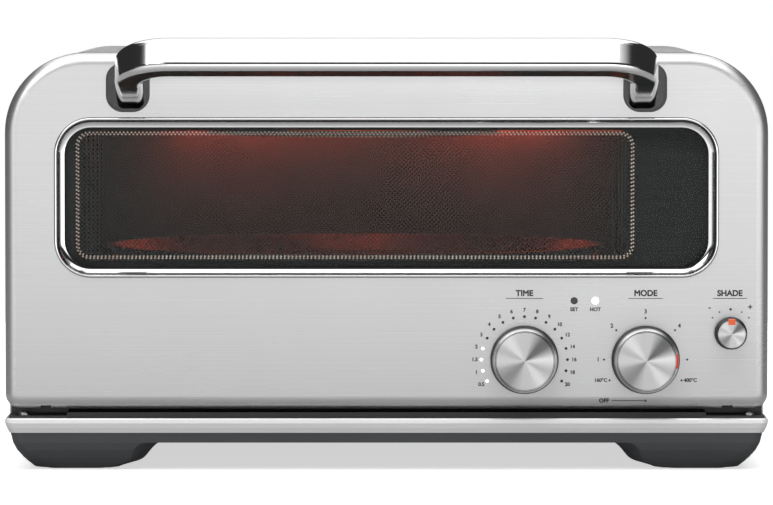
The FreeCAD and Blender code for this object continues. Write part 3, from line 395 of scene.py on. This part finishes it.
otherLooks = {
    "cavityEnamel": dict(dark=(0.016, 0.0155, 0.0155), light=(0.032, 0.031, 0.031), rough=(0.22, 0.36),
                         scale=900.0, bump=(0.10, 0.0001), smudge=0.06),
    "blackPrint": dict(dark=(0.008, 0.008, 0.008), light=(0.010, 0.010, 0.010), rough=(0.50, 0.60),
                       scale=300.0, bump=(0.01, 0.00001)),
    "screenMetal": dict(dark=(0.030, 0.030, 0.031), light=(0.055, 0.054, 0.054), rough=(0.30, 0.45),
                        scale=700.0, bump=(0.05, 0.00004), metal=0.6),
    "basePlastic": dict(dark=(0.062, 0.066, 0.070), light=(0.084, 0.088, 0.094), rough=(0.46, 0.58),
                        scale=1500.0, bump=(0.20, 0.00015)),
    "blackPlastic": dict(dark=(0.012, 0.012, 0.013), light=(0.022, 0.022, 0.023), rough=(0.38, 0.52),
                         scale=1500.0, bump=(0.15, 0.0001)),
    "rubberFeet": dict(dark=(0.018, 0.018, 0.018), light=(0.032, 0.031, 0.03), rough=(0.7, 0.85),
                       scale=1200.0, bump=(0.25, 0.0002)),
    "heaterRod": dict(dark=(0.05, 0.045, 0.04), light=(0.12, 0.10, 0.09), rough=(0.45, 0.62),
                      scale=500.0, bump=(0.12, 0.0001), metal=0.5),
    "whiteCeramic": dict(dark=(0.66, 0.65, 0.61), light=(0.78, 0.77, 0.74), rough=(0.30, 0.42),
                         scale=700.0, bump=(0.08, 0.0001)),
    "deckStone": dict(dark=(0.30, 0.26, 0.21), light=(0.52, 0.47, 0.39), rough=(0.82, 0.95),
                      scale=380.0, bump=(0.45, 0.0004), detail=9.0, smudge=0.05),
    "redPointer": dict(dark=(0.70, 0.035, 0.015), light=(0.86, 0.07, 0.03), rough=(0.30, 0.40),
                       scale=900.0, bump=(0.05, 0.00004)),
    "orangePointer": dict(dark=(0.78, 0.10, 0.02), light=(0.92, 0.16, 0.04), rough=(0.30, 0.40),
                          scale=900.0, bump=(0.05, 0.00004)),
    "darkLens": dict(dark=(0.008, 0.008, 0.008), light=(0.016, 0.016, 0.016), rough=(0.12, 0.2),
                     scale=900.0, bump=(0.03, 0.00003)),
    "switchPlastic": dict(dark=(0.05, 0.05, 0.055), light=(0.09, 0.09, 0.095), rough=(0.35, 0.5),
                          scale=1100.0, bump=(0.1, 0.0001)),
    "leadSleeve": dict(dark=(0.52, 0.50, 0.46), light=(0.70, 0.68, 0.63), rough=(0.62, 0.78),
                       scale=1300.0, bump=(0.35, 0.0002)),
    "shadowSheet": dict(dark=(0.045, 0.045, 0.046), light=(0.075, 0.075, 0.076), rough=(0.32, 0.46),
                      scale=800.0, bump=(0.08, 0.00006), metal=0.7),
    # painted glints: pale pinkish tone for the bright dots at the screen's edge
    "edgeGlint": dict(dark=(0.66, 0.42, 0.35), light=(0.95, 0.84, 0.80), rough=(0.5, 0.6),
                      scale=90.0, bump=(0.04, 0.00003)),
    "cupShade": dict(dark=(0.035, 0.035, 0.036), light=(0.06, 0.06, 0.061), rough=(0.08, 0.16),
                     scale=500.0, bump=(0.03, 0.00003), metal=0.8),
    "dialPrint": dict(dark=(0.014, 0.014, 0.015), light=(0.024, 0.024, 0.025), rough=(0.5, 0.62),
                      scale=1500.0, bump=(0.05, 0.00002)),
}
others = {name: finish(name, look)[0] for name, look in otherLooks.items()}
others["hotRod"] = glowing("hotRod", (1.0, 0.07, 0.015), (1.0, 0.14, 0.03), 2.2)
others["litLens"] = glowing("litLens", (1.0, 0.96, 0.90), (1.0, 1.0, 1.0), 3.0, 900.0)
others["windowGlass"] = windowGlass(glassLook)
others["ropeSeal"] = ropeSeal(ropeLook)
others["mineralWool"] = mineralWool(woolLook)
others["circuitBoard"] = circuitBoard(boardLook)
others["zincSheet"] = zincSheet(zincLook)

# which finish each of the record's slots gets
slotFinish = {
    "brushed_steel": steels["doorSteel"], "satin_steel": steels["handleSteel"],
    "polished_trim": steels["polishedSteel"], "plain_sheet": steels["plainSheet"],
    "zinc_sheet": others["zincSheet"], "cavity_enamel": others["cavityEnamel"],
    "clear_glass": others["windowGlass"], "black_print": others["blackPrint"],
    "dark_plastic": others["basePlastic"], "black_plastic": others["blackPlastic"],
    "rubber_feet": others["rubberFeet"], "rope_seal": others["ropeSeal"],
    "mineral_wool": others["mineralWool"], "heater_rod": others["heaterRod"],
    "hot_rod": others["hotRod"], "white_ceramic": others["whiteCeramic"],
    "deck_stone": others["deckStone"], "pan_steel": steels["panSteel"],
    "spring_steel": steels["springSteel"], "red_pointer": others["redPointer"],
    "orange_pointer": others["orangePointer"], "lit_lens": others["litLens"],
    "dark_lens": others["darkLens"], "circuit_board": others["circuitBoard"],
    "switch_plastic": others["switchPlastic"], "lead_sleeve": others["leadSleeve"],
}
for thing in nodes.values():
    slotName = thing.material_slots[0].name
    if slotName in slotFinish:
        thing.material_slots[0].material = slotFinish[slotName]
nodes["outer_shell"].material_slots[0].material = steels["shellSteel"]
# painted shade: these sheet parts under and behind the door are coloured near black for the shade they sit in
for name in ("floor_plate", "hinge_brackets", "front_frame"):
    nodes[name].material_slots[0].material = others["shadowSheet"]
nodes["base_trim"].material_slots[0].material = steels["bandSteel"]
# painted shade: the polished cups are coloured near black for the shade and dark reflection inside them
nodes["handle_cups"].material_slots[0].material = others["cupShade"]
for dial in ("timer_knob", "style_knob", "shade_knob"):
    nodes[dial].material_slots[0].material = spunMetal(dial + "Spun", dial, spunLook)
print("finishes on the frame's nodes:", len(slotFinish), "slots")


# polished frame round the window
# each step draws the outline in by its first number and moves it forward by its second, in mm; a face larger
# than pane, in square metres, would fill the window and is taken out
bezelSizes = {"gap": 0.4 * mm, "corner": 22.4 * mm, "segments": 14, "rise": 4.75 * mm,
              "pane": 0.01, "smooth": 40,
              "lip": ((0.12, 0.25), (0.25, 0.18), (0.55, 0.02), (0.22, -0.12)),
              "cove": ((0.45, -1.0), (0.55, -0.95), (0.65, -0.8), (0.75, -0.62), (0.8, -0.42),
                       (0.8, -0.24), (0.7, -0.1))}


def makeBezel(s):
    low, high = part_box("window_bezel")
    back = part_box("window_outer_glass")[0].y
    bpy.ops.object.select_all(action="DESELECT")
    bpy.ops.mesh.primitive_plane_add(size=1, rotation=(math.radians(90), 0, 0),
                                     location=((low.x + high.x) / 2, back, (low.z + high.z) / 2))
    bezel = bpy.context.object
    bezel.scale = (high.x - low.x - 2 * s["gap"], high.z - low.z - 2 * s["gap"], 1)
    settle(bezel)
    bpy.ops.object.mode_set(mode="EDIT")
    bpy.ops.mesh.select_all(action="SELECT")
    bpy.ops.mesh.bevel(offset=s["corner"], segments=s["segments"], affect="VERTICES")
    bpy.ops.mesh.select_mode(type="FACE")
    bpy.ops.mesh.extrude_region_move(TRANSFORM_OT_translate={"value": (0, -s["rise"], 0)})
    for inward, forward in s["lip"] + s["cove"]:
        bpy.ops.mesh.inset(thickness=inward * mm, depth=forward * mm)
    backToObject()
    pickFaces(bezel, lambda centre, normal, area: area > s["pane"])
    bpy.ops.mesh.delete(type="FACE")
    bpy.ops.mesh.select_mode(type="EDGE")
    bpy.ops.mesh.select_all(action="DESELECT")
    bpy.ops.mesh.select_non_manifold()
    bpy.ops.mesh.bridge_edge_loops()
    bpy.ops.mesh.select_all(action="SELECT")
    bpy.ops.mesh.normals_make_consistent(inside=False)
    backToObject()
    return bezel


bezel = makeBezel(bezelSizes)
bezel.name = bezel.data.name = "windowBezel"
selectOnly(bezel)
bpy.ops.object.shade_smooth_by_angle(angle=math.radians(bezelSizes["smooth"]))
paint(bezel, steels["polishedSteel"])
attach(bezel, "door")
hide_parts("window_bezel")
print("window frame:", len(bezel.data.polygons), "faces")


# perforated screen between the panes
screenSizes = {"width": 349 * mm, "height": 84 * mm, "cell": 1.92 * mm, "web": 0.27 * mm,
               "thick": 0.3 * mm, "whole": 0.98,
               "depth": -163.2 * mm, "middle": (-19.3 * mm, 169.7 * mm)}


def makeScreen(s):
    across = int((s["width"] + s["height"]) / math.sqrt(2) / s["cell"]) + 2
    size = across * s["cell"]
    bpy.ops.object.select_all(action="DESELECT")
    bpy.ops.mesh.primitive_grid_add(x_subdivisions=across, y_subdivisions=across, size=size)
    screen = bpy.context.object
    screen.rotation_euler = (0, 0, math.radians(45))
    settle(screen)
    x, z = s["width"] / 2, s["height"] / 2
    for place, outward in (((x, 0, 0), (1, 0, 0)), ((-x, 0, 0), (-1, 0, 0)),
                           ((0, z, 0), (0, 1, 0)), ((0, -z, 0), (0, -1, 0))):
        bpy.ops.object.mode_set(mode="EDIT")
        bpy.ops.mesh.select_all(action="SELECT")
        bpy.ops.mesh.bisect(plane_co=place, plane_no=outward, clear_outer=True)
        backToObject()
    whole = s["whole"] * s["cell"] ** 2  # the cells cut by the border stay closed
    pickFaces(screen, lambda centre, normal, area: area > whole)
    bpy.ops.mesh.inset(thickness=s["web"], depth=0, use_individual=True)
    bpy.ops.mesh.delete(type="FACE")
    backToObject()
    addModifier(screen, "SOLIDIFY", thickness=s["thick"], offset=0)
    screen.rotation_euler = (math.radians(90), 0, 0)
    screen.location = (s["middle"][0], s["depth"], s["middle"][1])
    settle(screen)
    return screen


screen = makeScreen(screenSizes)
screen.name = screen.data.name = "windowScreen"
paint(screen, others["screenMetal"])
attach(screen, "door")
screen.data.calc_loop_triangles()
print("perforated screen:", len(screen.data.loop_triangles), "triangles")


# two rows of small raised studs along the screen's edge, in a pale pinkish tone that paints the bright dots of light
# there: painted glints
edgeSizes = {"pitch": 2.35 * mm, "radius": 0.7 * mm, "thick": 0.2 * mm, "depth": -163.7 * mm, "corner": 8.0 * mm,
             "x": (-191.0 * mm, 152.2 * mm), "z": (131.1 * mm, 208.7 * mm), "second": 1.2 * mm}


def rowPlaces(s, inward, shift):
    # evenly spaced places on a rounded rectangle
    (x0, x1), (z0, z1) = [(low + inward, high - inward) for low, high in (s["x"], s["z"])]
    r = s["corner"] - inward
    quarter = math.pi * r / 2
    wide, tall = x1 - x0 - 2 * r, z1 - z0 - 2 * r
    whole = 2 * (wide + tall) + 4 * quarter
    count = round(whole / s["pitch"])
    places = []
    for i in range(count):
        run = (i + shift) * whole / count
        for length, start, way, turnMiddle in ((wide, (x0 + r, z1), (1, 0), (x1 - r, z1 - r)),
                                               (tall, (x1, z1 - r), (0, -1), (x1 - r, z0 + r)),
                                               (wide, (x1 - r, z0), (-1, 0), (x0 + r, z0 + r)),
                                               (tall, (x0, z0 + r), (0, 1), (x0 + r, z1 - r))):
            if run < length:
                places.append((start[0] + way[0] * run, start[1] + way[1] * run))
                break
            run -= length
            if run < quarter:
                turn = run / r
                side = (-way[1], way[0])
                places.append((turnMiddle[0] + r * (side[0] * math.cos(turn) + way[0] * math.sin(turn)),
                               turnMiddle[1] + r * (side[1] * math.cos(turn) + way[1] * math.sin(turn))))
                break
            run -= quarter
    return places


def makeScreenEdge(s):
    bpy.ops.object.select_all(action="DESELECT")
    bpy.ops.mesh.primitive_circle_add(vertices=4, radius=s["radius"], fill_type="NGON",
                                      rotation=(math.radians(90), 0, 0))
    stud = bpy.context.object
    settle(stud)
    bpy.ops.object.mode_set(mode="EDIT")
    bpy.ops.mesh.select_all(action="SELECT")
    bpy.ops.mesh.extrude_region_move(TRANSFORM_OT_translate={"value": (0, -s["thick"], 0)})
    bpy.ops.mesh.normals_make_consistent(inside=False)
    backToObject()
    copies = []
    for inward, shift in ((0, 0), (s["second"], 0.5)):
        for x, z in rowPlaces(s, inward, shift):
            one = stud.copy()
            one.data = stud.data.copy()
            one.location = (x, s["depth"], z)
            bpy.context.scene.collection.objects.link(one)
            copies.append(one)
    bpy.data.objects.remove(stud)
    edge = join("screenEdge", copies)
    settle(edge)
    return edge


screenEdge = makeScreenEdge(edgeSizes)
paint(screenEdge, others["edgeGlint"])
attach(screenEdge, "door")
print("screen edge:", len(screenEdge.data.polygons), "faces")


# printing round the dials
printSizes = {"front": -172.5 * mm, "lift": 0.02 * mm, "thick": 0.03 * mm,
              "bold": 0.13 * mm, "titleBold": 0.2 * mm, "title": 5.0 * mm, "label": 3.5 * mm, "small": 3.1 * mm,
              "titleUp": 109.8 * mm, "ruleUp": 106.7 * mm, "rule": 0.4 * mm}
doorFace = printSizes["front"] - printSizes["lift"]
dials = {"timer": middle("timer_knob"), "style": middle("style_knob"), "shade": middle("shade_knob")}


def word(text, x, z, size, align="CENTER", bold=printSizes["bold"]):
    bpy.ops.object.select_all(action="DESELECT")
    bpy.ops.object.text_add()
    line = bpy.context.object
    line.data.body = text
    line.data.size = size
    line.data.align_x = align
    line.data.align_y = "CENTER"
    line.data.extrude = printSizes["thick"] / 2
    line.data.bevel_depth = bold
    line.data.bevel_resolution = 0
    bpy.ops.object.convert(target="MESH")
    line = bpy.context.object
    line.rotation_euler = (math.radians(90), 0, 0)
    line.location = (x, doorFace, z)
    settle(line)
    return line


def dot(x, z, radius):
    bpy.ops.object.select_all(action="DESELECT")
    bpy.ops.mesh.primitive_circle_add(vertices=20, radius=radius, fill_type="NGON",
                                      location=(x, doorFace, z), rotation=(math.radians(90), 0, 0))
    spot = bpy.context.object
    addModifier(spot, "SOLIDIFY", thickness=printSizes["thick"], offset=0)
    settle(spot)
    return spot


def stroke(x0, z0, x1, z1, width):
    length = math.hypot(x1 - x0, z1 - z0)
    bpy.ops.object.select_all(action="DESELECT")
    bpy.ops.mesh.primitive_plane_add(size=1, location=((x0 + x1) / 2, doorFace, (z0 + z1) / 2),
                                     rotation=(math.radians(90), -math.atan2(z1 - z0, x1 - x0), 0))
    line = bpy.context.object
    line.scale = (length, width, 1)
    settle(line)
    addModifier(line, "SOLIDIFY", thickness=printSizes["thick"], offset=0)
    return line


def around(centre, radius, degrees):
    # a place on the door's face, clockwise from the top of a dial
    turn = math.radians(degrees)
    return centre.x + radius * math.sin(turn), centre.z + radius * math.cos(turn)


def heading(text, centre, left, right, shift=0.0):
    # a title over a rule
    up = printSizes["ruleUp"]
    return [word(text, centre.x + shift, printSizes["titleUp"], printSizes["title"], bold=printSizes["titleBold"]),
            stroke(centre.x - left, up, centre.x + right, up, printSizes["rule"])]


timerSizes = {"reach": 30.6 * mm, "first": -120, "step": 15, "rule": 11.5 * mm,
              "marks": ("0.5", "1", "1.5", "2", "3", "4", "5", "6", "7", "8", "9", "10", "12", "14", "16", "18", "20")}


def timerPrint():
    centre, s = dials["timer"], timerSizes
    pieces = []
    for i, mark in enumerate(s["marks"]):
        x, z = around(centre, s["reach"], s["first"] + s["step"] * i)
        pieces.append(word(mark, x, z, printSizes["small"]))
    return join("timerPrint", pieces + heading("TIME", centre, s["rule"], s["rule"]))


styleSizes = {"reach": 25.6 * mm, "dot": 0.65 * mm, "dots": (0, -45, -90, -120, 45, 90, 120),
              "labels": (("3", 0, 29.6), ("2", -45, 29.4), ("1", -90, 29.2), ("4", 45, 29.4)),
              "warm": (("160°C", -120, "RIGHT", -1.4), ("400°C", 120, "LEFT", 1.4)),
              "off": (21 * mm, 25.4 * mm), "offEnd": 1 * mm, "offRule": 0.35 * mm, "offGap": 1.5 * mm,
              "rule": 10.6 * mm}


def stylePrint():
    centre, s = dials["style"], styleSizes
    pieces = [dot(*around(centre, s["reach"], degrees), s["dot"]) for degrees in s["dots"]]
    for text, degrees, reach in s["labels"]:
        x, z = around(centre, reach * mm, degrees)
        pieces.append(word(text, x, z, printSizes["label"]))
    for text, degrees, align, gap in s["warm"]:
        x, z = around(centre, s["reach"], degrees)
        pieces.append(word(text, x + gap * mm, z, printSizes["small"], align))
    offX, offZ = centre.x - s["off"][0], centre.z - s["off"][1]
    pieces.append(stroke(offX, offZ, centre.x - s["offEnd"], offZ, s["offRule"]))
    pieces.append(dot(centre.x, offZ, s["dot"]))
    pieces.append(word("OFF", offX - s["offGap"], offZ, printSizes["label"], "RIGHT"))
    return join("stylePrint", pieces + heading("MODE", centre, s["rule"], s["rule"]))


shadeSizes = {"reach": 14.6 * mm, "dots": ((-50, 0.5), (-28, 0.5), (0, 0.8), (28, 0.5), (50, 0.5)),
              "rule": (11 * mm, 10 * mm), "shift": -0.5 * mm, "signs": (("-", -13 * mm), ("+", 12 * mm)),
              "signUp": 101.2 * mm}


def shadePrint():
    centre, s = dials["shade"], shadeSizes
    pieces = [dot(*around(centre, s["reach"], degrees), radius * mm) for degrees, radius in s["dots"]]
    pieces += heading("SHADE", centre, *s["rule"], s["shift"])
    for sign, away in s["signs"]:
        pieces.append(word(sign, centre.x + away, s["signUp"], printSizes["title"]))
    return join("shadePrint", pieces)


lampSizes = {"words": (("SET", 115.5 * mm), ("HOT", 128.5 * mm)), "up": 99.9 * mm}


def lampPrint():
    return join("lampPrint", [word(text, x, lampSizes["up"], printSizes["small"]) for text, x in lampSizes["words"]])


for make in (timerPrint, stylePrint, shadePrint, lampPrint):
    printed = make()
    paint(printed, others["dialPrint"])
    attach(printed, "door")
print("dial printing done")


# camera, floor and lights
cameraSetup = {"place": (0, -4.1725, 0.3127), "aim": (0, -0.1725, 0.135), "lens": 303.1, "sensor": 36.0,
               "far": 30}
camera = bpy.data.objects.new("camera", bpy.data.cameras.new("camera"))
bpy.context.scene.collection.objects.link(camera)
place, aim = cameraSetup["place"], cameraSetup["aim"]
camera.location = place
tilt = math.atan2(place[2] - aim[2], aim[1] - place[1])
camera.rotation_euler = (math.pi / 2 - tilt, 0, 0)
camera.data.lens = cameraSetup["lens"]
camera.data.sensor_width = cameraSetup["sensor"]
camera.data.clip_end = cameraSetup["far"]
bpy.context.scene.camera = camera

# the room, by direction as seen from the oven: each panel has its middle, its half size and its soft
# edge, across (x) and up (z), and its brightness; the camera sees plain white and a pale floor instead,
# and the floor that the oven mirrors is darker, and lit further out
studio = {"floor": 3.0, "floorPale": 0.81, "floorDark": 0.32, "floorGrain": 0.01, "floorSeen": 0.62,
          "floorFelt": 0.05, "floorFar": (-1.1, -0.25), "floorGlow": 0.8, "dark": 0.03, "ahead": (-0.15, 0.0),
          "panels": {"wall": dict(x=(0.0, 0.70, 0.28), z=(-0.06, 0.13, 0.10), light=1.8),
                     "top": dict(x=(-0.02, 0.38, 0.46), z=(0.78, 0.22, 0.06), light=1.4),
                     "key": dict(x=(-0.46, 0.16, 0.12), z=(0.46, 0.10, 0.10), light=3.2)},
          "slope": (0.20, 0.34)}


def forTheLens(tree, seen, felt):
    # the camera sees one thing, and the light that falls on the oven comes from the other
    choose = tree.nodes.new("ShaderNodeMixShader")
    path = tree.nodes.new("ShaderNodeLightPath")
    tree.links.new(path.outputs["Is Camera Ray"], choose.inputs["Fac"])
    tree.links.new(felt, choose.inputs[1])
    tree.links.new(seen, choose.inputs[2])
    return choose.outputs[0]


bpy.ops.object.select_all(action="DESELECT")
bpy.ops.mesh.primitive_plane_add(size=studio["floor"])
floor = bpy.context.object
floor.name = "floor"
floorPaint, floorTree, floorShader = blank("floorPaint")
floorNoise = grainNoise(floorTree, (1, 1, 1), 3.0, 3.0)
floorPath = floorTree.nodes.new("ShaderNodeLightPath")
floorPlace = addNode(floorTree, "SeparateXYZ")
floorTree.links.new(addNode(floorTree, "TexCoord").outputs["Object"], floorPlace.inputs[0])
farOut = spread(floorTree, floorPlace.outputs["Y"], 1, 0, *studio["floorFar"])
floorTone = combine(floorTree, "ADD", spread(floorTree, floorNoise, -studio["floorGrain"], studio["floorGrain"]),
                    spread(floorTree, floorPath.outputs["Is Camera Ray"], studio["floorDark"],
                           studio["floorPale"], 0, 1))
floorTree.links.new(floorTone, floorShader.inputs["Base Color"])
for key, value in (("Roughness", 0.9), ("Specular IOR Level", 0.1), ("Emission Color", (1, 1, 1, 1))):
    floorShader.inputs[key].default_value = value
onlyFelt = combine(floorTree, "SUBTRACT", 1.0, floorPath.outputs["Is Camera Ray"])
farGlow = combine(floorTree, "MULTIPLY", combine(floorTree, "MULTIPLY", farOut, studio["floorGlow"]), onlyFelt)
nearGlow = spread(floorTree, floorPath.outputs["Is Camera Ray"], studio["floorFelt"], studio["floorSeen"], 0, 1)
floorTree.links.new(combine(floorTree, "ADD", nearGlow, farGlow), floorShader.inputs["Emission Strength"])
floor.data.materials.append(floorPaint)

world = bpy.data.worlds.new("studio")
bpy.context.scene.world = world
world.use_nodes = True
worldTree = world.node_tree
sky = worldTree.nodes["Background"]
direction = addNode(worldTree, "TexCoord")
split = addNode(worldTree, "SeparateXYZ")
worldTree.links.new(direction.outputs["Generated"], split.inputs[0])


def within(axis, centre, half, soft):
    return spread(worldTree, gapFrom(worldTree, split.outputs[axis], centre), 1, 0, half, half + soft)


ahead = spread(worldTree, split.outputs["Y"], 1, 0, *studio["ahead"])
room = studio["dark"]
for name, panel in studio["panels"].items():
    lit = combine(worldTree, "MULTIPLY", within("X", *panel["x"]), within("Z", *panel["z"]))
    lit = combine(worldTree, "MULTIPLY", lit, combine(worldTree, "MULTIPLY", ahead, panel["light"]))
    if name == "wall":
        reach, share = studio["slope"]
        lit = combine(worldTree, "MULTIPLY", lit, spread(worldTree, split.outputs["X"], 1 - share, 1 + share,
                                                         -reach, reach))
    room = combine(worldTree, "ADD", lit, room)
worldTree.links.new(room, sky.inputs["Strength"])
sky.inputs["Color"].default_value = (1, 1, 1, 1)
seen = addNode(worldTree, "Background")
seen.inputs["Color"].default_value = (1, 1, 1, 1)
worldTree.links.new(forTheLens(worldTree, seen.outputs[0], sky.outputs[0]),
                    worldTree.nodes["World Output"].inputs["Surface"])


def softbox(name, place, aim, size, power, tone=(1, 1, 1), spreadDegrees=180):
    lamp = bpy.data.lights.new(name, "AREA")
    lamp.shape = "RECTANGLE"
    lamp.size, lamp.size_y = size
    lamp.energy = power
    lamp.color = tone
    lamp.spread = math.radians(spreadDegrees)
    thing = bpy.data.objects.new(name, lamp)
    bpy.context.scene.collection.objects.link(thing)
    thing.location = place
    toward = [a - p for a, p in zip(aim, place)]
    flat = math.hypot(toward[0], toward[1])
    thing.rotation_euler = (math.pi / 2 + math.atan2(toward[2], flat), 0,
                            math.atan2(toward[1], toward[0]) - math.pi / 2)
    thing.visible_camera = False


lamps = {"overhead": dict(place=(0, 0.2, 2.0), aim=(0, 0.2, 0), size=(4.2, 3.0), power=56),
         "ovenGlow": dict(place=(-0.01, 0.14, 0.214), aim=(-0.01, 0.197, 0.196), size=(0.27, 0.015), power=0.5,
                          tone=(1.0, 0.085, 0.045), spreadDegrees=110)}
for name, values in lamps.items():
    softbox(name, **values)
bpy.context.scene.view_settings.view_transform = "Standard"
print("camera, floor and lights done")
